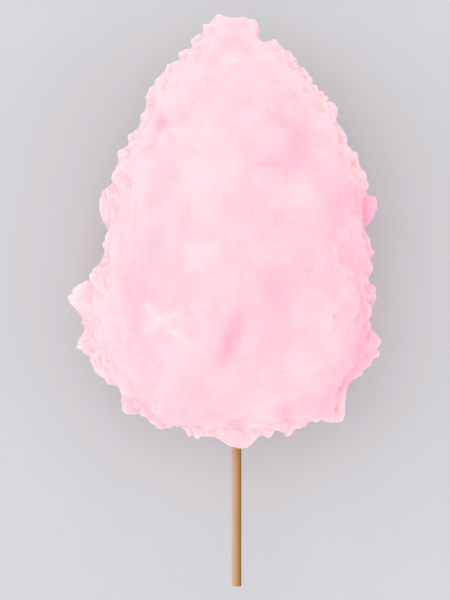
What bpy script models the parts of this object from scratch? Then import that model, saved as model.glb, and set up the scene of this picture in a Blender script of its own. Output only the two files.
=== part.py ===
"""Cotton candy on a wooden stick, lying on its back with the stick level.

Two pieces: the floss, one head of spun sugar wound round the stick, and the stick that runs up inside it.
The stick's axis is parallel to Y, with the floss's crown towards +Y and the held end towards -Y. The floss rests
on the flat that its own weight presses into its underside, and the origin is on that flat, under the stick's axis.

Sizes below are millimetres. The scene is in metres, +Z up.
"""

import math
import random

import bmesh
import bpy
from mathutils import Matrix, Vector

MM = 0.001

# Stick
STICK_RADIUS = 3.0
STICK_LENGTH = 300.0
STICK_END = -202.5  # the held end, measured along Y
STICK_EDGE = 0.35  # the sawn edges are just broken
STICK_EDGE_STEPS = 2
STICK_SIDES = 32
STICK_GAP = 0.3  # between the stick and the sugar round it
BORE_OVERRUN = 10.0  # the bore's cutter starts this far below the lip
SHARP_ANGLE = math.radians(50.0)  # the stick is shaded smooth across edges under this

# Floss
AXIS_HEIGHT = 75.0  # of the stick above the table: less than the floss's depth, so the underside is pressed flat
DEPTH_SHARE = 0.93  # front-to-back depth, as a share of the width
FLOSS_SIDES = 80  # facets round the stick
FLOSS_RINGS = 48  # facets from lip to crown
OUTLINE_SAMPLES = 400
SLOPE_STEP = 0.004  # how far to either side the base form's direction is measured

# The floss's outline, from the lip on the stick to the crown: (along Y, half width at -X, half width at +X)
OUTLINE = (
    (-115.5, 0.0, 0.0),  # lip, where the sugar thins out on the stick
    (-113.5, 5.0, 8.0),
    (-104.0, 28.0, 27.0),  # underside
    (-98.0, 55.0, 52.0),
    (-86.0, 69.0, 65.0),  # lower shoulder
    (-62.0, 85.0, 80.0),
    (-38.0, 92.0, 82.0),  # widest
    (-8.0, 83.0, 80.0),
    (25.0, 80.0, 80.0),
    (57.0, 74.5, 75.0),  # upper shoulder
    (90.0, 58.5, 60.0),
    (118.0, 42.0, 40.0),
    (138.0, 21.5, 20.0),  # crown
    (148.0, 14.0, 6.0),
    (151.0, -4.0, 4.0),
)

# The lobes that stand out at the sides: (tip along X, tip along Y, radius)
LOBES = (
    (-105.5, -20.0, 13.0),  # the big one at -X
    (-100.5, -50.0, 11.0),
    (-90.0, -69.0, 10.0),
    (-73.0, -92.5, 12.0),  # lower corner at -X
    (-87.0, 33.0, 11.0),
    (-22.5, 147.0, 12.0),  # crown
    (-4.0, 155.0, 12.0),
    (12.0, 151.0, 10.0),
    (27.0, 139.0, 9.0),
    (88.0, 32.5, 11.0),
    (87.5, -18.0, 11.0),
    (90.0, -53.0, 14.0),
    (71.0, -85.0, 9.0),
    (66.0, -100.0, 11.0),  # lower corner at +X
    (35.0, -108.0, 10.0),
)

# The smaller puffs all over, on a spiral from lip to crown
PUFFS = 190
PUFF_RADIUS = (11.0, 19.0)
PUFF_REACH = (1.5, 4.5)
PUFF_STRAY_ALONG = 0.5 / math.sqrt(PUFFS)  # how far a puff may lie off the spiral, as a share of the way
PUFF_STRAY_ROUND = 0.15  # and round the stick, in radians
PUFF_SHARES = (0.02, 0.98)  # no puff is nearer to the lip or the crown
PUFF_SEED = 7
GOLDEN_ANGLE = math.pi * (3.0 - math.sqrt(5.0))
SMOOTH_ENDS = 0.06  # the puffs fade out over this share of the way from either end


def mix(a, b, share):
    """The value that lies this share of the way from a to b."""
    return a + (b - a) * share


def between(low, value, high):
    """The value, kept from low to high."""
    return min(max(value, low), high)


def catmull_rom(before, start, end, after, share):
    """A point on the smooth curve from start to end, whose neighbours on the outline are before and after."""
    return tuple(
        0.5
        * (
            2.0 * b
            + (c - a) * share
            + (2.0 * a - 5.0 * b + 4.0 * c - d) * share**2
            + (3.0 * b - a - 3.0 * c + d) * share**3
        )
        for a, b, c, d in zip(before, start, end, after)
    )


def sampled_outline():
    """The smooth outline as closely spaced points, each with its distance from the lip as a share of the whole."""
    ends = (OUTLINE[0],) + OUTLINE + (OUTLINE[-1],)
    points = []
    for i in range(OUTLINE_SAMPLES + 1):
        place = i / OUTLINE_SAMPLES * (len(OUTLINE) - 1)
        span = min(int(place), len(OUTLINE) - 2)
        points.append(catmull_rom(*ends[span : span + 4], place - span))
    travelled = [0.0]
    for (y0, left0, right0), (y1, left1, right1) in zip(points, points[1:]):
        half_step = (left1 + right1 - left0 - right0) / 2.0
        travelled.append(travelled[-1] + math.hypot(y1 - y0, half_step))
    return [(way / travelled[-1], point) for way, point in zip(travelled, points)]


class Floss:
    """The shape of the sugar: a base form that follows the outline, and the domes that stand on it."""

    def __init__(self):
        self.samples = sampled_outline()
        self.domes = self.lobes() + self.puffs()

    def outline_at(self, share):
        """(along Y, half width at -X, half width at +X), this share of the way from lip to crown."""
        low, high = 0, len(self.samples) - 1
        while high - low > 1:
            middle = (low + high) // 2
            low, high = (middle, high) if self.samples[middle][0] <= share else (low, middle)
        (way0, point0), (way1, point1) = self.samples[low], self.samples[high]
        inside = (share - way0) / max(way1 - way0, 1e-9)
        return tuple(mix(a, b, inside) for a, b in zip(point0, point1))

    def base(self, share, angle):
        """A point of the base form; the angle turns about the stick, from +X towards +Z."""
        y, left, right = self.outline_at(share)
        middle, half = (right - left) / 2.0, (left + right) / 2.0
        return Vector((middle + half * math.cos(angle), y, DEPTH_SHARE * half * math.sin(angle)))

    def outward(self, share, angle):
        """The base form's outward direction."""
        step = SLOPE_STEP
        share = between(step, share, 1.0 - step)
        along = self.base(share + step, angle) - self.base(share - step, angle)
        across = self.base(share, angle + step) - self.base(share, angle - step)
        return along.cross(across).normalized()

    def lobes(self):
        """Domes that each rise from the nearest point of the outline to their tip."""
        rim = [Vector((x, y, 0.0)) for _, (y, left, right) in self.samples for x in (-left, right)]
        found = []
        for x, y, radius in LOBES:
            tip = Vector((x, y, 0.0))
            foot = min(rim, key=lambda point: (point - tip).length)
            found.append((foot, radius, (tip - foot).length))
        return found

    def puffs(self):
        """Domes of uneven size on a spiral from lip to crown, evenly spread but never in rows."""
        draw = random.Random(PUFF_SEED)
        found = []
        for i in range(PUFFS):
            share = (i + 0.5) / PUFFS + draw.uniform(-PUFF_STRAY_ALONG, PUFF_STRAY_ALONG)
            share = between(PUFF_SHARES[0], share, PUFF_SHARES[1])
            angle = i * GOLDEN_ANGLE + draw.uniform(-PUFF_STRAY_ROUND, PUFF_STRAY_ROUND)
            fade = min(1.0, share / SMOOTH_ENDS, (1.0 - share) / SMOOTH_ENDS)
            reach = draw.uniform(*PUFF_REACH) * fade
            found.append((self.base(share, angle), draw.uniform(*PUFF_RADIUS), reach))
        return found

    def surface(self, direction):
        """The point of the floss seen in this direction of a unit ball, with the table pressed into its underside."""
        share = math.acos(between(-1.0, -direction.y, 1.0)) / math.pi
        angle = math.atan2(direction.z, direction.x)
        point = self.base(share, angle)
        lift = max(
            reach * math.sqrt(max(0.0, 1.0 - ((point - centre).length / radius) ** 2))
            for centre, radius, reach in self.domes
        )
        point = point + self.outward(share, angle) * lift
        point.z = max(point.z + AXIS_HEIGHT, 0.0)
        return point * MM


def clear_scene():
    for obj in list(bpy.data.objects):
        bpy.data.objects.remove(obj)


def new_collection(name):
    made = bpy.data.collections.new(name)
    bpy.context.scene.collection.children.link(made)
    return made


def plain_material(name, colour, roughness):
    material = bpy.data.materials.new(name)
    material.use_nodes = True
    shader = material.node_tree.nodes["Principled BSDF"]
    shader.inputs["Base Color"].default_value = (*colour, 1.0)
    shader.inputs["Roughness"].default_value = roughness
    shader.inputs["Metallic"].default_value = 0.0
    return material


def mesh_object(name, bm, collection, material=None):
    mesh = bpy.data.meshes.new(name)
    bm.to_mesh(mesh)
    bm.free()
    obj = bpy.data.objects.new(name, mesh)
    collection.objects.link(obj)
    if material:
        mesh.materials.append(material)
    return obj


def rod(name, radius, start, length, collection, material=None):
    """A round rod along Y at the stick's height, from start towards +Y."""
    bm = bmesh.new()
    bmesh.ops.create_cone(
        bm,
        cap_ends=True,
        segments=STICK_SIDES,
        radius1=radius * MM,
        radius2=radius * MM,
        depth=length * MM,
        matrix=Matrix.Rotation(math.radians(-90.0), 4, "X"),
    )
    obj = mesh_object(name, bm, collection, material)
    obj.location = (0.0, (start + length / 2.0) * MM, AXIS_HEIGHT * MM)
    return obj


def make_stick(collection):
    """A birch rod with both sawn ends lightly broken."""
    wood = plain_material("birch", (0.61, 0.36, 0.16), 0.55)
    stick = rod("stick", STICK_RADIUS, STICK_END, STICK_LENGTH, collection, wood)
    edges = stick.modifiers.new("broken_edges", "BEVEL")
    edges.width = STICK_EDGE * MM
    edges.segments = STICK_EDGE_STEPS
    edges.limit_method = "ANGLE"
    stick.data.shade_smooth()
    stick.data.set_sharp_from_angle(angle=SHARP_ANGLE)
    return stick


def make_bore(cutters):
    """The space in the floss that the stick fills, with a little air round it."""
    start = OUTLINE[0][0] - BORE_OVERRUN
    top = STICK_END + STICK_LENGTH + STICK_GAP
    bore = rod("bore_cutter", STICK_RADIUS + STICK_GAP, start, top - start, cutters)
    bore.hide_render = True
    bore.display_type = "WIRE"
    return bore


def make_floss(collection, bore):
    """One body of spun sugar, from the lip on the stick to the crown."""
    sugar = plain_material("spun_sugar", (0.99, 0.66, 0.74), 0.95)
    shape = Floss()
    bm = bmesh.new()
    bmesh.ops.create_uvsphere(
        bm,
        u_segments=FLOSS_SIDES,
        v_segments=FLOSS_RINGS,
        radius=1.0,
        matrix=Matrix.Rotation(math.radians(-90.0), 4, "X"),
    )
    for vertex in bm.verts:
        vertex.co = shape.surface(vertex.co.normalized())
    bmesh.ops.triangulate(bm, faces=bm.faces)
    bmesh.ops.recalc_face_normals(bm, faces=bm.faces)
    floss = mesh_object("floss", bm, collection, sugar)
    floss.data.shade_smooth()
    cut = floss.modifiers.new("stick_bore", "BOOLEAN")
    cut.operation = "DIFFERENCE"
    cut.solver = "EXACT"
    cut.object = bore
    return floss


def main():
    clear_scene()
    candy = new_collection("cotton_candy")
    cutters = new_collection("cutters")
    make_stick(candy)
    make_floss(candy, make_bore(cutters))


main()
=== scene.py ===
"""Cotton candy on a wooden stick: the finish of the spun sugar and of the stick, and a plain studio.

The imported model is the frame. The floss node gives the sugar its form, and the pieces here give it its
lumps, creases and fibres. Everything is in metres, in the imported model's own frame: +Y runs along the stick
to the crown and +Z up from the table to the shown side.
"""

import math
import random

import bmesh
import bpy
import numpy as np
from bpy.props import FloatProperty, FloatVectorProperty, IntProperty, PointerProperty
from mathutils import Matrix, Quaternion, Vector, noise
from mathutils.bvhtree import BVHTree


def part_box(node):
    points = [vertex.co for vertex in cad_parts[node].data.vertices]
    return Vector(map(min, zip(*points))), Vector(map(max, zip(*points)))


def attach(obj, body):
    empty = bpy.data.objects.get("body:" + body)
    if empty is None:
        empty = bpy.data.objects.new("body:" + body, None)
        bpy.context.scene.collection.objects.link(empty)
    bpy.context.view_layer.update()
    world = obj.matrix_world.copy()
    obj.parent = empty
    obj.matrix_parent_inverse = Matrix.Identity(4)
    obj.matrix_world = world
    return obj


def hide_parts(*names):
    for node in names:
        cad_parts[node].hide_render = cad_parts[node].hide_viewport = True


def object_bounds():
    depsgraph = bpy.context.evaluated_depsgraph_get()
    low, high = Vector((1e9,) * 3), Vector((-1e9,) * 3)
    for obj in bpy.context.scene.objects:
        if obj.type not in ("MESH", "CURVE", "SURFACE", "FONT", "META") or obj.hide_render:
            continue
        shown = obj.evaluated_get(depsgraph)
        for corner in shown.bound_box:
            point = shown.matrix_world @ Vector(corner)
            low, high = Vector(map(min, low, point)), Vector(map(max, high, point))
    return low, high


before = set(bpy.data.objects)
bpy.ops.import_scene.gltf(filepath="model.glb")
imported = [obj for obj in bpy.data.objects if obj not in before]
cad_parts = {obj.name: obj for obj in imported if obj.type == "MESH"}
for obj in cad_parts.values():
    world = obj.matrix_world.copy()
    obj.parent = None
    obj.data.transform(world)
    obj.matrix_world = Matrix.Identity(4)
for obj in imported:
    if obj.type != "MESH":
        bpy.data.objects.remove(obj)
CAD_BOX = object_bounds()

bl_info = {
    "name": "Cotton candy",
    "version": (1, 0, 0),
    "blender": (4, 5, 0),
    "location": "View3D > Sidebar > Cotton candy",
    "description": "Finishes a head of spun sugar on a wooden stick",
    "category": "Object",
}

MM = 0.001

STICK_LOW, STICK_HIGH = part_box("stick")
AXIS_X = (STICK_LOW.x + STICK_HIGH.x) / 2.0
AXIS_Z = (STICK_LOW.z + STICK_HIGH.z) / 2.0
STICK_RADIUS = (STICK_HIGH.x - STICK_LOW.x) / 2.0
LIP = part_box("floss")[0].y
ALONG = Vector((0.0, 1.0, 0.0))

WELD = 0.01 * MM
BORE_REACH = 0.4 * MM  # vertices this close to the stick belong to its bore
DARK_BAND_REACH = 14.0 * MM  # the wood is darker this far below the lip
SMOOTH = "PERLIN_NEW"  # the noise whose cells leave no straight edges

# The sugar's relief
SWIRL_SIZE, SWIRL_REACH = 30.0 * MM, 9.0 * MM  # of the field that bends all the lumps
RIPPLE_SIZE, RIPPLE_REACH = 9.0 * MM, 2.5 * MM  # of the one that bends the small lumps further
FOLD_SIZE = (24.0, 70.0, 12.0)  # of the folds along X, Y and Z, in mm
VALLEY = 0.35  # the billows are lowered by this, so that their valleys lie in and their tops stand out
# The lumps are lowest where a normal's Z is SIDE_START or more, and full where it is SIDE_SPAN less.
SIDE_START, SIDE_SPAN = 0.62, 0.54
BACK_SHARE = 0.3  # a normal that points down counts this much as one that points up
SHOWN_LUMPS = 0.06  # share of the lumps' height that is left on the shown side
LIP_LUMPS = 0.12  # and at the lip
SHOWN_FADE = 18.0 * MM  # how far below the stick's axis the tints, with their painted shading, and the ridges end
SWELL_STRETCH = 0.42  # a swell reaches further from front to back, where distances count this much
FOOT_TINT = 0.10  # the lower half is this much deeper pink
FOOT_FADE = 150.0 * MM  # and the upper half ever less, until here

# The fibres
WOUND_SEED, DRAWN_SEED, WISP_SEED, LIP_SEED = 11, 17, 23, 5
WOUND_SLANT, DRAWN_SLANT = 0.0, 80.0  # degrees off the winding
SLANT_SPREAD = 30.0
FIBRE_STEPS = (9, 14)  # the fewest and the most
FIBRE_STRIDE = 3.6 * MM
FIBRE_LIFT = 0.12 * MM  # off the sugar
FIBRE_SWAY = 0.16  # radians at each step
FIBRE_TIP = 0.25  # a fibre's radius at its ends, as a share of its middle's
WISP_STEPS = 6
LIP_FIBRES = 4
LIP_STEPS = 24
LIP_GAP = 0.06 * MM  # from the stick to the middle of a fibre round it

# The stage
FLOOR_RADIUS = 40.0
FLOOR_DROP = 0.05 * MM  # keeps the floor off the flat that rests on it
CAMERA_SHIFT = (0.9 * MM, -0.1 * MM)  # off the middle of the part
SKY_STRENGTH = 0.85
LIGHTS = (  # name, place, size, power
    ("key", (-1.15, 0.2, 0.6), 1.0, 4.5),
    ("fill", (1.15, -0.1, 0.6), 1.0, 3.5),
    ("crown_light", (0.1, 1.2, 0.6), 1.0, 3.0),
    ("foot_light", (-0.1, -1.2, 0.6), 1.0, 3.6),
    ("top", (-0.2, 0.1, 1.7), 1.2, 5.9),
)

# The sugar's tint and painted shading on the shown side: (along X, along Y, reach, width, turn in degrees,
# strength), in mm. A positive stroke is deeper pink, partly where the sugar is dense and partly painted shade
# in its folds and along its edges; a negative one is pale, partly where it is thin and partly painted light.
TINTS_AND_PAINTED_SHADING = (
    (-47.0, 83.5, 5.0, 3.4, 80.0, 1.45),  # a knot on the upper left, and the fold under it
    (-40.5, 76.0, 4.0, 3.0, 0.0, 0.24),
    (-41.0, 64.0, 20.0, 7.0, 90.0, 0.18),
    (-33.0, 18.0, 9.0, 3.5, 85.0, 0.22),
    (-52.0, 10.0, 10.0, 7.0, 70.0, 0.26),  # the long fold on the left
    (-59.0, -18.0, 22.0, 7.0, 86.0, 0.46),
    (-60.0, -46.0, 12.0, 6.0, 100.0, 0.30),
    (27.0, 84.0, 9.0, 5.0, -20.0, 0.25),  # the fold on the upper right
    (37.0, 78.0, 9.0, 5.0, -50.0, 0.30),
    (37.0, 64.0, 13.0, 6.0, 82.0, 0.34),
    (24.0, 60.0, 20.0, 11.0, 50.0, 0.22),
    (52.0, 55.0, 12.0, 6.0, -40.0, 0.20),  # up the right side: partly the sugar's own deeper pink, partly painted shade on the side away from the key light
    (66.0, 60.0, 13.0, 6.0, -65.0, 0.34),
    (60.0, 37.0, 15.0, 9.0, -65.0, 0.30),
    (62.0, 12.0, 28.0, 9.0, 92.0, 0.42),
    (73.0, 38.0, 16.0, 8.0, 100.0, 0.45),
    (86.0, 30.0, 16.0, 8.0, 90.0, 0.86),
    (82.0, -5.0, 32.0, 9.0, 90.0, 0.56),
    (78.0, -54.0, 25.0, 11.5, 82.0, 0.85),
    (64.0, -76.0, 16.0, 9.0, 50.0, 0.50),
    (57.0, -85.0, 10.0, 8.0, 60.0, 0.38),
    (23.0, -18.0, 13.0, 8.0, 108.0, 0.42),  # the two streaks in the middle
    (-3.5, -45.0, 16.0, 4.8, 72.0, 0.76),
    (20.0, -46.0, 22.0, 12.0, 90.0, 0.12),
    (8.0, 28.0, 12.0, 8.0, 90.0, 0.08),
    (29.0, -92.0, 6.0, 4.5, 90.0, 0.62),  # the lower edge
    (44.0, -91.0, 14.0, 6.0, 10.0, 0.26),
    (-60.0, -91.0, 11.0, 4.0, -10.0, 0.40),
    (-74.0, -62.0, 12.0, 8.0, 60.0, 0.12),
    (-16.0, -82.0, 20.0, 8.0, 0.0, 0.08),
    (-38.0, -97.0, 34.0, 6.0, 0.0, 0.25),
    (-34.0, 108.0, 16.0, 8.0, 60.0, -0.06),  # pale stretches: partly thin sugar, partly painted light, as on the left edge that faces the key light
    (-24.0, 52.0, 28.0, 12.0, 94.0, -0.42),
    (-5.0, 56.0, 12.0, 8.0, 80.0, -0.16),
    (-5.0, 34.0, 36.0, 8.0, 90.0, -0.15),
    (36.0, 36.0, 12.0, 10.0, 0.0, -0.44),
    (-24.0, 4.0, 20.0, 3.5, 5.0, -0.18),
    (2.0, 4.0, 20.0, 7.0, 0.0, -0.26),
    (-20.0, -15.0, 28.0, 10.0, 0.0, -0.14),
    (-96.0, -20.0, 11.0, 14.0, 0.0, -0.52),
    (-84.0, 2.0, 12.0, 7.0, 90.0, -0.18),
    (10.0, -89.0, 12.0, 9.0, 90.0, -0.30),
    (54.0, -46.0, 12.0, 6.0, -12.0, -0.35),
    (64.0, 14.0, 14.0, 3.0, 60.0, -0.20),
    (-45.0, -37.0, 8.0, 6.0, 0.0, -0.18),  # the star-shaped wrinkle on the lower left: a painted highlight along its ridges
    (-37.0, -43.0, 13.0, 2.8, -41.0, -0.68),
    (-40.5, -33.5, 7.0, 2.3, 35.0, -0.50),
    (-50.0, -31.0, 8.0, 2.3, 130.0, -0.54),
    (-51.0, -40.0, 7.0, 2.3, 30.0, -0.45),
)

# Ridges where the sugar was pulled, most of them the wrinkle's:
# (along X, along Y, reach, width, turn in degrees, height), in mm
RIDGES = (
    (-35.0, -44.0, 12.0, 3.6, -40.0, 0.30),
    (-38.0, -33.0, 7.0, 2.8, 40.0, 0.30),
    (-49.0, -31.0, 8.0, 2.8, 130.0, 0.30),
    (-49.0, -41.0, 7.0, 2.8, 30.0, 0.25),
    (64.0, 14.0, 14.0, 2.6, 60.0, 0.50),
    (40.0, 100.0, 14.0, 2.2, 118.0, 0.50),
)

# Where the outline swells or is cut in: (along X, along Y, reach, height), in mm
SWELLS = (
    (-19.0, 151.0, 4.0, -1.0),  # crown
    (-9.7, 154.0, 5.0, 1.5),
    (17.0, 141.5, 6.0, -4.0),
    (25.0, 140.0, 4.0, 1.5),
    (-24.0, 142.0, 6.0, -1.0),
    (-39.0, 126.0, 9.0, -4.4),
    (-52.0, 110.0, 9.0, 3.0),  # down the side at -X
    (-57.0, 97.0, 6.0, 1.5),
    (-66.0, 79.0, 10.0, -2.2),
    (-76.0, 60.0, 7.0, 1.4),
    (-82.5, 43.0, 9.0, 2.8),
    (-85.5, 33.0, 5.0, 1.2),
    (-83.0, 12.0, 8.0, 1.6),
    (-91.5, -9.0, 8.0, 5.2),
    (-101.0, -15.0, 5.0, 1.2),
    (-98.5, -38.0, 8.0, -5.8),
    (-97.0, -54.0, 6.0, 4.6),
    (-90.0, -66.0, 5.0, -1.2),
    (-75.5, -83.0, 7.0, -3.8),
    (-70.0, -93.0, 6.0, 2.6),
    (-50.0, -104.0, 12.0, -2.8),  # underneath
    (-25.0, -108.0, 9.0, -5.2),
    (-10.0, -110.0, 6.0, -0.8),
    (5.0, -113.0, 8.0, 2.6),
    (20.0, -108.5, 8.0, -4.4),
    (32.0, -107.0, 4.0, 1.0),
    (42.0, -102.0, 7.0, -8.5),
    (56.0, -102.0, 6.0, -2.0),
    (67.0, -97.0, 6.0, 1.4),
    (72.5, -79.0, 8.0, -7.5),  # up the side at +X
    (82.0, -63.0, 6.0, 2.8),
    (89.0, -52.0, 5.0, -0.8),
    (84.0, -31.5, 7.0, -5.0),
    (84.0, -9.0, 6.0, -3.6),
    (84.0, 7.5, 12.0, 1.8),
    (86.0, 30.0, 6.0, 1.2),
    (83.0, 45.0, 7.0, 4.0),
    (75.0, 64.0, 12.0, 1.0),
    (64.7, 88.0, 10.0, 0.4),
    (48.0, 113.0, 5.0, 1.8),
    (36.0, 128.0, 4.0, 1.8),
)


# Settings


class FlossSettings(bpy.types.PropertyGroup):
    """The body of spun sugar."""

    grain: FloatProperty(
        name="Grain", description="Mesh size of the surface", default=1.0 * MM, unit="LENGTH"
    )
    triangles: IntProperty(
        name="Triangles", description="What the surface is thinned to", default=195000
    )
    stretch: FloatProperty(
        name="Stretch", description="How much longer the lumps are from front to back", default=1.5
    )
    big_lump: FloatProperty(
        name="Big lumps", description="Their size", default=22.0 * MM, unit="LENGTH"
    )
    big_lift: FloatProperty(
        name="Big lumps' lift", description="Their height", default=10.0 * MM, unit="LENGTH"
    )
    small_lump: FloatProperty(
        name="Small lumps", description="Their size", default=9.0 * MM, unit="LENGTH"
    )
    small_lift: FloatProperty(
        name="Small lumps' lift", description="Their height", default=4.0 * MM, unit="LENGTH"
    )
    fold_lift: FloatProperty(
        name="Folds' lift", description="Their height", default=1.2 * MM, unit="LENGTH"
    )
    lip_reach: FloatProperty(
        name="Lip's reach",
        description="How far from the lip the lumps fade",
        default=34.0 * MM,
        unit="LENGTH",
    )
    sink: FloatProperty(
        name="Sink", description="How far all of it lies in", default=0.9 * MM, unit="LENGTH"
    )
    smoothing: IntProperty(
        name="Smoothing", description="Passes that round the form's facets", default=25
    )
    softening: IntProperty(
        name="Softening", description="Passes that round the creases", default=4
    )
    seed: IntProperty(name="Seed", description="Draws other lumps", default=13)
    pink: FloatVectorProperty(
        name="Pink",
        description="Colour of the sugar",
        subtype="COLOR",
        default=(0.985, 0.567, 0.615),
    )
    # Deeper pink: the sugar's own where it is dense, and painted shade where the tints put it in folds and on
    # the side away from the key light.
    dense_and_shaded_pink: FloatVectorProperty(
        name="Deep pink",
        description="Colour where the sugar is dense",
        subtype="COLOR",
        default=(0.975, 0.386, 0.525),
    )
    # Pale pink: the sugar's own where it is thin, and painted light on the lit left side, the wrinkle and the
    # creases.
    thin_and_lit_pink: FloatVectorProperty(
        name="Cream",
        description="Colour where it is pulled thin",
        subtype="COLOR",
        default=(0.985, 0.672, 0.68),
    )
    fibre: FloatVectorProperty(
        name="Fibre",
        description="Colour of the palest fibres",
        subtype="COLOR",
        default=(0.985, 0.68, 0.72),
    )


class FibreSettings(bpy.types.PropertyGroup):
    """The fibres on the sugar's surface."""

    wound: IntProperty(
        name="Wound fibres", description="How many lie round the sugar", default=1900
    )
    drawn: IntProperty(
        name="Drawn fibres", description="How many lie along the sugar", default=1900
    )
    radius: FloatProperty(
        name="Radius", description="Of all but the wisps", default=0.05 * MM, unit="LENGTH"
    )
    loose: IntProperty(
        name="Loose wisps", description="How many stand off the sugar", default=2600
    )
    loose_radius: FloatProperty(
        name="Wisp radius", description="Their radius", default=0.04 * MM, unit="LENGTH"
    )


class StickSettings(bpy.types.PropertyGroup):
    """The wooden stick."""

    sides: IntProperty(name="Sides", description="Facets round the stick", default=48)
    edge: FloatProperty(
        name="Edge", description="Width of the broken edges", default=0.35 * MM, unit="LENGTH"
    )
    # Painted light: the stick's palest side, the -X side, which faces the key light.
    lit_side_wood: FloatVectorProperty(
        name="Lit_side",
        description="Colour of the palest side",
        subtype="COLOR",
        default=(0.60, 0.475, 0.33),
    )
    wood: FloatVectorProperty(
        name="Wood",
        description="Colour of the middle",
        subtype="COLOR",
        default=(0.475, 0.26, 0.10),
    )
    # The darkest colour: of the grain and flecks, of the band under the floss, and painted shade on the
    # stick's +X side.
    dark_grain_and_shade: FloatVectorProperty(
        name="Grain_and_shade",
        description="Colour of the darkest side and the grain",
        subtype="COLOR",
        default=(0.205, 0.094, 0.018),
    )


class StageSettings(bpy.types.PropertyGroup):
    """The floor, the lights and the camera."""

    floor: FloatVectorProperty(
        name="Floor", description="Its colour", subtype="COLOR", default=(0.52, 0.53, 0.55)
    )
    distance: FloatProperty(
        name="Distance", description="Camera to stick", default=1.3, unit="LENGTH"
    )
    frame_height: FloatProperty(
        name="Height", description="What the camera takes in", default=375.0 * MM, unit="LENGTH"
    )


# Shader maths


class Wire:
    """A number that varies over a surface. Sums of wires add the Math nodes that work them out."""

    def __init__(self, finish, socket):
        self.finish, self.socket = finish, socket

    def maths(self, operation, *values, clamp=False):
        settings = {"operation": operation, "use_clamp": clamp}
        return self.finish.add("ShaderNodeMath", settings, dict(enumerate(values)))

    def __add__(self, other):
        return self.maths("ADD", self, other)

    def __sub__(self, other):
        return self.maths("SUBTRACT", self, other)

    def __rsub__(self, other):
        return self.maths("SUBTRACT", other, self)

    def __mul__(self, other):
        return self.maths("MULTIPLY", self, other)

    __radd__ = __add__

    def clamped(self):
        return self.maths("ADD", self, 0.0, clamp=True)


class Finish:
    """A material in the making: a Principled shader, and the nodes that feed it."""

    def __init__(self, name):
        self.material = bpy.data.materials.new(name)
        self.material.use_nodes = True
        self.nodes = self.material.node_tree.nodes
        self.shader = self.nodes["Principled BSDF"]

    def feed(self, socket, value):
        if isinstance(value, Wire):
            self.material.node_tree.links.new(value.socket, socket)
        else:
            socket.default_value = value

    def add(self, kind, settings=None, sockets=None, output=0):
        """A new node's output. Its settings are made first, then its sockets get their values or links."""
        node = self.nodes.new(kind)
        for name, value in (settings or {}).items():
            setattr(node, name, value)
        for name, value in (sockets or {}).items():
            self.feed(node.inputs[name], value)
        return Wire(self, node.outputs[output])

    def place(self, scale=(1.0, 1.0, 1.0), turn=(0.0, 0.0, 0.0)):
        """Object coordinates, turned and then stretched."""
        coordinates = self.add("ShaderNodeTexCoord", output="Object")
        angles = tuple(math.radians(angle) for angle in turn)
        turned = self.add("ShaderNodeMapping", {}, {"Vector": coordinates, "Rotation": angles})
        return self.add("ShaderNodeMapping", {}, {"Vector": turned, "Scale": scale})

    def noise(self, place, scale, detail=2.0, roughness=0.5, distortion=0.0):
        sockets = {
            "Vector": place,
            "Scale": scale,
            "Detail": detail,
            "Roughness": roughness,
            "Distortion": distortion,
        }
        return self.add("ShaderNodeTexNoise", {}, sockets)

    def blend(self, share, first, second):
        """The first colour where share is 0 and the second where it is 1."""
        sockets = {0: share, 6: first, 7: second}
        return self.add("ShaderNodeMix", {"data_type": "RGBA"}, sockets, output=2)

    def attribute(self, name):
        return self.add("ShaderNodeAttribute", {"attribute_name": name}, {}, output="Fac")

    def bump(self, height, distance, strength=1.0):
        sockets = {"Height": height, "Distance": distance, "Strength": strength}
        return self.add("ShaderNodeBump", {}, sockets)

    def finished(self, **sockets):
        """The material, with the shader's sockets fed: Base_Color stands for Base Color, and so on."""
        for name, value in sockets.items():
            self.feed(self.shader.inputs[name.replace("_", " ")], value)
        return self.material


def opaque(colour):
    return (*colour, 1.0)


def sugar_finish(settings):
    """Matted sugar: soft and translucent, with fine crossing fibres; its tints carry painted shade, deeper
    pink in the folds, and its creases are painted paler, as painted light that glows in them.
    """
    made = Finish("spun sugar")
    clouds = made.noise(made.place(), 26.0, detail=3.0, roughness=0.55, distortion=0.6)
    across = made.noise(made.place((1.0, 5.0, 1.0), (0.0, 0.0, 14.0)), 240.0, detail=4.0, roughness=0.6)
    upward = made.noise(made.place((5.0, 1.0, 5.0), (0.0, 0.0, -9.0)), 200.0, detail=4.0, roughness=0.6)
    fibres = across * 0.5 + upward * 0.5
    tint_and_painted_shading = made.attribute("tint_and_painted_shading")
    painted_crease_light = made.attribute("painted_crease_light")
    # Painted light: the creases' colour is made paler to soften their shade; the tints add painted shade and
    # light.
    depth = tint_and_painted_shading + (clouds - 0.5) * 0.44 - painted_crease_light * 0.15 + (0.5 - fibres) * 0.16
    dense_and_shaded_pink = made.blend(depth.clamped(), opaque(settings.pink), opaque(settings.dense_and_shaded_pink))
    colour = made.blend((depth * -1.0).clamped(), dense_and_shaded_pink, opaque(settings.thin_and_lit_pink))
    return made.finished(
        Base_Color=colour,
        Roughness=0.82 + fibres * 0.16,
        Subsurface_Weight=1.0,
        Subsurface_Radius=(1.0, 0.55, 0.65),
        Subsurface_Scale=12.0 * MM,
        Specular_IOR_Level=0.15,
        Sheen_Weight=0.25,
        Sheen_Roughness=0.6,
        Normal=made.bump(fibres, 0.35 * MM, 0.6),
    )


def fibre_finish(settings):
    """Single fibres and thin bundles of sugar: paler than the mass, with a little gloss."""
    made = Finish("sugar fibre")
    patches = made.noise(made.place(), 60.0, detail=2.0)
    colour = made.blend(patches * 0.6 + 0.4, opaque(settings.pink), opaque(settings.fibre))
    return made.finished(
        Base_Color=colour,
        Roughness=0.45 + patches * 0.2,
        Specular_IOR_Level=0.3,
    )


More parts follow.
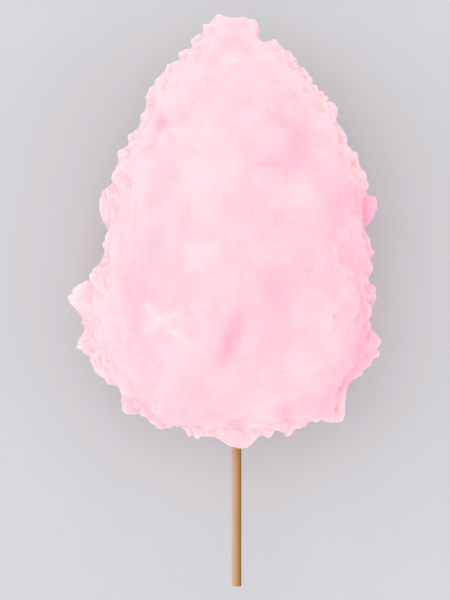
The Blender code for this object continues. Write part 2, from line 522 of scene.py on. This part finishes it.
def wood_finish(settings):
    """Untreated birch with straight grain and flecks, paler on the -X side as painted light and darker on the
    +X side as painted shade, and darker just under the floss.
    """
    made = Finish("birch")
    grain = made.noise(made.place((1.0, 0.03, 1.0)), 1500.0, detail=5.0, roughness=0.62, distortion=0.3)
    flecks = made.noise(made.place((1.0, 0.09, 1.0)), 900.0, detail=2.0)
    lines = ((grain - 0.5) * 2.2 + 0.35).clamped()
    marks = ((flecks - 0.62) * 6.0).clamped()
    sideways = made.add("ShaderNodeSeparateXYZ", {}, {"Vector": made.place()}, output="X")
    along = made.add("ShaderNodeSeparateXYZ", {}, {"Vector": made.place()}, output="Y")
    # Painted light and shade across the stick: 0 on the -X side, which faces the key light, and 1 on the
    # shaded +X side.
    lit_to_shaded_side = (sideways * (0.5 / STICK_RADIUS) + (0.5 - 0.5 * AXIS_X / STICK_RADIUS)).clamped()
    # The wood is darker and a little smoother in a band that ends at the lip.
    lip_band = (along * (0.5 / DARK_BAND_REACH) + (0.5 - 0.5 * LIP / DARK_BAND_REACH)).clamped()
    side_shaded_wood = made.blend((lit_to_shaded_side * 2.0).clamped(), opaque(settings.lit_side_wood), opaque(settings.wood))
    side_shaded_wood = made.blend((lit_to_shaded_side * 2.0 - 1.0).clamped(), side_shaded_wood, opaque(settings.dark_grain_and_shade))
    base = made.blend((lines * 0.30 + marks * 0.25).clamped(), side_shaded_wood, opaque(settings.dark_grain_and_shade))
    colour = made.blend(lip_band * 0.4, base, opaque(settings.dark_grain_and_shade))
    return made.finished(
        Base_Color=colour,
        Roughness=0.5 + lines * 0.14 - lip_band * 0.12,
        Specular_IOR_Level=0.15,
        Normal=made.bump(lines, 0.06 * MM, 0.5),
    )


def floor_finish(settings):
    """A plain pale table top."""
    made = Finish("floor")
    mottle = made.noise(made.place(), 6.0, detail=2.0)
    return made.finished(
        Base_Color=opaque(settings.floor),
        Roughness=0.8 + mottle * 0.1,
        Specular_IOR_Level=0.2,
    )


# Meshes


def new_piece(name, mesh, *materials):
    piece = bpy.data.objects.new(name, mesh)
    bpy.context.scene.collection.objects.link(piece)
    for material in materials:
        mesh.materials.append(material)
    return piece


def mesh_of(name, bm):
    mesh = bpy.data.meshes.new(name)
    bm.to_mesh(mesh)
    bm.free()
    return mesh


def shaped(piece):
    """The piece with its modifiers, or its curve, made a plain mesh."""
    graph = bpy.context.evaluated_depsgraph_get()
    mesh = bpy.data.meshes.new_from_object(piece.evaluated_get(graph))
    name, old = piece.name, piece.data
    bpy.data.objects.remove(piece)
    if isinstance(old, bpy.types.Mesh):
        bpy.data.meshes.remove(old)
    else:
        bpy.data.curves.remove(old)
    mesh.name = name
    return new_piece(name, mesh)


def points_of(mesh):
    places = np.empty(len(mesh.vertices) * 3)
    mesh.vertices.foreach_get("co", places)
    return places.reshape(-1, 3)


def normals_of(mesh):
    directions = np.empty(len(mesh.vertices) * 3)
    mesh.vertex_normals.foreach_get("vector", directions)
    return directions.reshape(-1, 3)


def keep_on(mesh, name, values):
    """Stores one number for each vertex, for the mesh's material."""
    mesh.attributes.new(name, "FLOAT", "POINT").data.foreach_set("value", np.asarray(values, np.float32))


def bare_form():
    """The floss node's form without the stick's bore."""
    bm = bmesh.new()
    bm.from_mesh(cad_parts["floss"].data)
    bmesh.ops.remove_doubles(bm, verts=bm.verts, dist=WELD)
    reach = STICK_RADIUS + BORE_REACH
    bore = [v for v in bm.verts if math.hypot(v.co.x - AXIS_X, v.co.z - AXIS_Z) < reach]
    bmesh.ops.delete(bm, geom=bore, context="VERTS")
    bmesh.ops.holes_fill(bm, edges=[edge for edge in bm.edges if edge.is_boundary])
    bmesh.ops.triangulate(bm, faces=bm.faces)
    return mesh_of("spun_sugar", bm)


def rounded(piece, passes):
    """Adds what rounds the piece's edges off."""
    smooth = piece.modifiers.new("rounded", "SMOOTH")
    smooth.factor = 0.5
    smooth.iterations = passes


def even_form(settings):
    """The bare form as an even mesh, with the facets smoothed away."""
    piece = new_piece("spun_sugar", bare_form())
    remesh = piece.modifiers.new("grain", "REMESH")
    remesh.mode = "VOXEL"
    remesh.voxel_size = settings.grain
    rounded(piece, settings.smoothing)
    return shaped(piece)


def billow(point, size, octaves):
    """Uneven rounded swellings that meet in sharp valleys: 0 in a valley, and about 1 on the highest."""
    return noise.turbulence(
        point / size, octaves, True, noise_basis=SMOOTH, amplitude_scale=0.5, frequency_scale=2.1
    )


def swirled(point, size, reach):
    """The point moved by a smooth field whose swirls have this size."""
    return point + noise.noise_vector(point / size, noise_basis=SMOOTH) * reach


def stroke(points, x, y, reach, width, turn):
    """How much a soft stroke covers each point seen from above, from 0 to 1."""
    angle = math.radians(turn)
    dx, dy = points[:, 0] - x * MM, points[:, 1] - y * MM
    along = (dx * math.cos(angle) + dy * math.sin(angle)) / (reach * MM)
    across = (dy * math.cos(angle) - dx * math.sin(angle)) / (width * MM)
    return np.exp(-(along**2) - across**2)


def shown_side(points):
    """1 on the shown side, falling to 0 towards the back."""
    return np.clip((points[:, 2] - AXIS_Z) / SHOWN_FADE + 1.0, 0.0, 1.0)


def sugar_relief(points, normals, settings):
    """Height of the lumps and folds over the even form, and how deep each point lies in a crease.

    The lumps stand out at the sides, and less at the back. On the shown side and at the lip the sugar is
    drawn smooth.
    """
    heights, creases = [], []
    lip = Vector((AXIS_X, LIP, AXIS_Z))
    noise.seed_set(settings.seed)
    for place, up in zip(map(Vector, points), normals[:, 2]):
        pressed = Vector((place.x, place.y, place.z / settings.stretch))
        swirl = swirled(pressed, SWIRL_SIZE, SWIRL_REACH)
        ripple = swirled(swirl, RIPPLE_SIZE, RIPPLE_REACH)
        side = min(1.0, max(0.0, (SIDE_START - max(up, -BACK_SHARE * up)) / SIDE_SPAN))
        shown = SHOWN_LUMPS + (1.0 - SHOWN_LUMPS) * side * side * (3.0 - 2.0 * side)
        away = min(1.0, (place - lip).length / settings.lip_reach)
        torn = shown * (LIP_LUMPS + (1.0 - LIP_LUMPS) * away * away)
        big = billow(swirl, settings.big_lump, 2) - VALLEY
        small = billow(ripple, settings.small_lump, 2) - VALLEY
        long = Vector([along / size for along, size in zip(swirl, FOLD_SIZE)]) / MM
        fold = noise.noise(long, noise_basis=SMOOTH)
        lumps = big * settings.big_lift + small * settings.small_lift
        heights.append(lumps * torn - settings.sink + fold * settings.fold_lift)
        creases.append(-(big * 1.2 + small * 0.8) * torn)
    return np.array(heights), np.clip(creases, 0.0, 1.0)


def swelling(points):
    """How far the outline's swells and cuts move each point."""
    lift = np.zeros(len(points))
    for x, y, reach, height in SWELLS:
        offset = (points - Vector((x * MM, y * MM, AXIS_Z))) / (reach * MM)
        offset[:, 2] *= SWELL_STRETCH
        lift += np.exp(-(offset**2).sum(axis=1)) * height * MM
    return lift


def thinned(piece, triangles):
    """The piece with its flattest stretches made coarser."""
    share = triangles / sum(len(face.vertices) - 2 for face in piece.data.polygons)
    thin = piece.modifiers.new("thinned", "DECIMATE")
    thin.ratio = min(1.0, share)
    return shaped(piece)


def make_floss(settings):
    """The body of spun sugar: the even form with its relief, its outline's swells, and its tints with their
    painted shading.
    """
    piece = even_form(settings)
    mesh = piece.data
    points, normals = points_of(mesh), normals_of(mesh)
    heights, creases = sugar_relief(points, normals, settings)
    heights += swelling(points)
    front = shown_side(points)
    for *where, height in RIDGES:
        heights += stroke(points, *where) * front * height * MM
    # Tints with painted shade in the folds and on the right side, and painted light on the left side and the
    # wrinkle.
    tint_and_painted_shading = sum(stroke(points, *where) * strength for *where, strength in TINTS_AND_PAINTED_SHADING) * front
    tint_and_painted_shading += FOOT_TINT - FOOT_TINT * np.clip(points[:, 1] / FOOT_FADE, 0.0, 1.0)
    points += normals * heights[:, None]
    points[:, 2] = np.maximum(points[:, 2], 0.0)
    mesh.vertices.foreach_set("co", points.ravel())
    keep_on(mesh, "tint_and_painted_shading", tint_and_painted_shading)
    keep_on(mesh, "painted_crease_light", creases)
    mesh.update()
    rounded(piece, settings.softening)
    piece = thinned(piece, settings.triangles)
    piece.data.shade_smooth()
    piece.data.materials.append(sugar_finish(settings))
    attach(piece, "root")
    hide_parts("floss")


# Fibres


def crossing(tree, start, heading, steps, draw):
    """A fibre's path over the sugar, from start along heading, which sways as it goes."""
    point, normal, _, _ = tree.find_nearest(start)
    path = []
    for _ in range(steps):
        path.append(point + normal * FIBRE_LIFT)
        heading = Quaternion(normal, draw.gauss(0.0, FIBRE_SWAY)) @ heading
        heading = (heading - normal * heading.dot(normal)).normalized()
        point, normal, _, _ = tree.find_nearest(point + heading * FIBRE_STRIDE)
    return path


def pulled_tight(path, passes):
    """The path after its fibre is pulled, so that it bridges the creases."""
    for _ in range(passes):
        inner = [(a + b * 2.0 + c) / 4.0 for a, b, c in zip(path, path[1:], path[2:])]
        path = [path[0], *inner, path[-1]]
    return path


def round_the_stick(place):
    """The direction in which the sugar was wound at this place."""
    outward = Vector((place.x - AXIS_X, 0.0, place.z - AXIS_Z))
    return ALONG.cross(outward).normalized()


def fibre_mesh(name, paths, radius):
    """Thin four-sided tubes along the paths, tapered to both ends."""
    curve = bpy.data.curves.new(name, "CURVE")
    curve.dimensions = "3D"
    curve.bevel_depth = radius
    curve.bevel_resolution = 0
    curve.use_fill_caps = True
    for path in paths:
        spline = curve.splines.new("POLY")
        last = len(path) - 1
        spline.points.add(last)
        for i, (point, place) in enumerate(zip(spline.points, path)):
            point.co = (place.x, place.y, max(place.z, 2.0 * radius), 1.0)
            point.radius = FIBRE_TIP + (1.0 - FIBRE_TIP) * math.sin(math.pi * i / last)
    return shaped(new_piece(name, curve))


def seeds_on(mesh, count, draw):
    """Places on the sugar, off the table, with their outward directions."""
    points, normals = points_of(mesh), normals_of(mesh)
    free = [i for i in range(len(points)) if points[i][2] > 3.0 * MM]
    return [(Vector(points[i]), Vector(normals[i])) for i in draw.choices(free, k=count)]


def wear(piece, material):
    """Gives a piece of fibres its material, and takes it into the part."""
    piece.data.materials.clear()
    piece.data.materials.append(material)
    piece.data.shade_smooth()
    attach(piece, "root")


def make_long_fibres(name, seed, count, slant, floss, settings, finish):
    """Long fibres that lie on the sugar, slanted off the winding and a little across each other."""
    draw = random.Random(seed)
    tree = BVHTree.FromObject(floss, bpy.context.evaluated_depsgraph_get())
    paths = []
    for place, _ in seeds_on(floss.data, count, draw):
        tilt = math.radians(draw.gauss(slant, SLANT_SPREAD))
        heading = round_the_stick(place) * math.cos(tilt) + ALONG * math.sin(tilt)
        path = crossing(tree, place, heading, draw.randint(*FIBRE_STEPS), draw)
        paths.append(pulled_tight(path, 2))
    wear(fibre_mesh(name, paths, settings.radius), finish)


def make_loose_wisps(floss, settings, finish):
    """Short fibres that stand a little off the sugar."""
    draw = random.Random(WISP_SEED)
    paths = []
    for place, normal in seeds_on(floss.data, settings.loose, draw):
        sideways = normal.cross(ALONG).length > 0.1
        around = round_the_stick(place) if sideways else Vector((1.0, 0.0, 0.0))
        heading = Quaternion(normal, draw.uniform(0.0, 2.0 * math.pi)) @ around
        heading = (heading + normal * draw.uniform(0.1, 0.6)).normalized()
        bend = Vector([draw.gauss(0.0, 0.3) for _ in range(3)]) - normal * draw.uniform(0.05, 0.3)
        stride = draw.uniform(0.5, 1.0) * MM
        path = [place - normal * 0.4 * MM]
        for _ in range(WISP_STEPS):
            path.append(path[-1] + heading * stride)
            heading = (heading + bend).normalized()
        paths.append(path)
    wear(fibre_mesh("loose_wisps", paths, settings.loose_radius), finish)


def make_lip_fibres(settings, finish):
    """A few turns of fibre left round the stick just under the floss."""
    draw = random.Random(LIP_SEED)
    paths = []
    for _ in range(LIP_FIBRES):
        start, turns = LIP + draw.uniform(-1.5, 2.0) * MM, draw.uniform(0.7, 1.6)
        climb, phase = draw.uniform(-2.5, 2.5) * MM, draw.uniform(0.0, 2.0 * math.pi)
        path = []
        for i in range(LIP_STEPS + 1):
            angle = phase + turns * 2.0 * math.pi * i / LIP_STEPS
            reach = STICK_RADIUS + LIP_GAP
            x, z = AXIS_X + reach * math.cos(angle), AXIS_Z + reach * math.sin(angle)
            path.append(Vector((x, start + climb * i / LIP_STEPS, z)))
        paths.append(path)
    wear(fibre_mesh("lip_fibres", paths, settings.radius), finish)


# Stick


def make_stick(settings):
    """A round rod with both sawn ends lightly broken."""
    bm = bmesh.new()
    length = STICK_HIGH.y - STICK_LOW.y
    middle = Vector((AXIS_X, (STICK_LOW.y + STICK_HIGH.y) / 2.0, AXIS_Z))
    bmesh.ops.create_cone(
        bm,
        cap_ends=True,
        segments=settings.sides,
        radius1=STICK_RADIUS,
        radius2=STICK_RADIUS,
        depth=length,
        matrix=Matrix.Translation(middle) @ Matrix.Rotation(math.radians(-90.0), 4, "X"),
    )
    rims = [edge for edge in bm.edges if len(edge.link_faces) == 2 and edge.calc_face_angle() > 1.0]
    bmesh.ops.bevel(
        bm,
        geom=rims,
        offset=settings.edge,
        segments=3,
        profile=0.5,
        affect="EDGES",
        material=-1,
    )
    piece = new_piece("birch_stick", mesh_of("birch_stick", bm), wood_finish(settings))
    piece.data.shade_smooth()
    piece.data.set_sharp_from_angle(angle=math.radians(50.0))
    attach(piece, "root")
    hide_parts("stick")


# Stage


def add_light(name, place, size, power):
    """A square soft light that faces the middle of the sugar."""
    light = bpy.data.lights.new(name, "AREA")
    light.size, light.energy = size, power
    lamp = bpy.data.objects.new(name, light)
    lamp.location = place
    aim = Vector((0.0, 0.0, AXIS_Z)) - lamp.location
    lamp.rotation_euler = aim.to_track_quat("-Z", "Y").to_euler()
    bpy.context.scene.collection.objects.link(lamp)


def make_floor(settings):
    """A round floor, far wider than the camera sees."""
    bm = bmesh.new()
    bmesh.ops.create_circle(bm, cap_ends=True, segments=64, radius=FLOOR_RADIUS)
    floor = new_piece("floor", mesh_of("floor", bm), floor_finish(settings))
    floor.data.transform(Matrix.Translation((0.0, 0.0, -FLOOR_DROP)))


def make_camera(settings):
    """A camera that looks straight down on the shown side."""
    lens = bpy.data.cameras.new("camera")
    lens.lens = lens.sensor_width * settings.distance / settings.frame_height
    camera = bpy.data.objects.new("camera", lens)
    middle = (CAD_BOX[0] + CAD_BOX[1]) / 2.0
    x, y = middle.x + CAMERA_SHIFT[0], middle.y + CAMERA_SHIFT[1]
    camera.location = (x, y, AXIS_Z + settings.distance)
    bpy.context.scene.collection.objects.link(camera)
    bpy.context.scene.camera = camera


def make_studio():
    """Even white light from all round, and soft lamps."""
    world = bpy.data.worlds.new("studio")
    world.use_nodes = True
    sky = world.node_tree.nodes["Background"]
    sky.inputs["Color"].default_value = (1.0, 1.0, 1.0, 1.0)
    sky.inputs["Strength"].default_value = SKY_STRENGTH
    scene = bpy.context.scene
    scene.world = world
    scene.view_settings.view_transform = "Standard"
    scene.view_settings.look = "None"
    for lamp in LIGHTS:
        add_light(*lamp)


# Operators and panel


class CANDY_OT_floss(bpy.types.Operator):
    """Makes the body of spun sugar, in place of the floss node"""

    bl_idname = "candy.floss"
    bl_label = "Spun sugar"

    def execute(self, context):
        make_floss(context.scene.candy_floss)
        return {"FINISHED"}


class CANDY_OT_fibres(bpy.types.Operator):
    """Makes the fibres on the sugar and round the stick"""

    bl_idname = "candy.fibres"
    bl_label = "Fibres"

    def execute(self, context):
        floss = context.scene.objects["spun_sugar"]
        settings = context.scene.candy_fibres
        finish = fibre_finish(context.scene.candy_floss)
        wound = (WOUND_SEED, settings.wound, WOUND_SLANT)
        drawn = (DRAWN_SEED, settings.drawn, DRAWN_SLANT)
        make_long_fibres("wound_fibres", *wound, floss, settings, finish)
        make_long_fibres("drawn_fibres", *drawn, floss, settings, finish)
        make_loose_wisps(floss, settings, finish)
        make_lip_fibres(settings, finish)
        return {"FINISHED"}


class CANDY_OT_stick(bpy.types.Operator):
    """Makes the wooden stick, in place of its node"""

    bl_idname = "candy.stick"
    bl_label = "Stick"

    def execute(self, context):
        make_stick(context.scene.candy_stick)
        return {"FINISHED"}


class CANDY_OT_stage(bpy.types.Operator):
    """Makes the floor, the lights and the camera"""

    bl_idname = "candy.stage"
    bl_label = "Stage"

    def execute(self, context):
        settings = context.scene.candy_stage
        make_floor(settings)
        make_camera(settings)
        make_studio()
        return {"FINISHED"}


OPERATORS = (CANDY_OT_stage, CANDY_OT_stick, CANDY_OT_floss, CANDY_OT_fibres)
SETTINGS = {
    "candy_floss": FlossSettings,
    "candy_fibres": FibreSettings,
    "candy_stick": StickSettings,
    "candy_stage": StageSettings,
}


class CANDY_PT_sidebar(bpy.types.Panel):
    """Lists the pieces to make"""

    bl_label = "Cotton candy"
    bl_space_type = "VIEW_3D"
    bl_region_type = "UI"
    bl_category = "Cotton candy"

    def draw(self, context):
        for operator in OPERATORS:
            self.layout.operator(operator.bl_idname)


def register():
    for name, group in SETTINGS.items():
        bpy.utils.register_class(group)
        setattr(bpy.types.Scene, name, PointerProperty(type=group))
    for made in (*OPERATORS, CANDY_PT_sidebar):
        bpy.utils.register_class(made)


def unregister():
    for made in (CANDY_PT_sidebar, *reversed(OPERATORS)):
        bpy.utils.unregister_class(made)
    for name, group in SETTINGS.items():
        delattr(bpy.types.Scene, name)
        bpy.utils.unregister_class(group)


def main():
    register()
    bpy.ops.candy.stage()
    bpy.ops.candy.stick()
    bpy.ops.candy.floss()
    bpy.ops.candy.fibres()


if __name__ == "__main__":
    main()
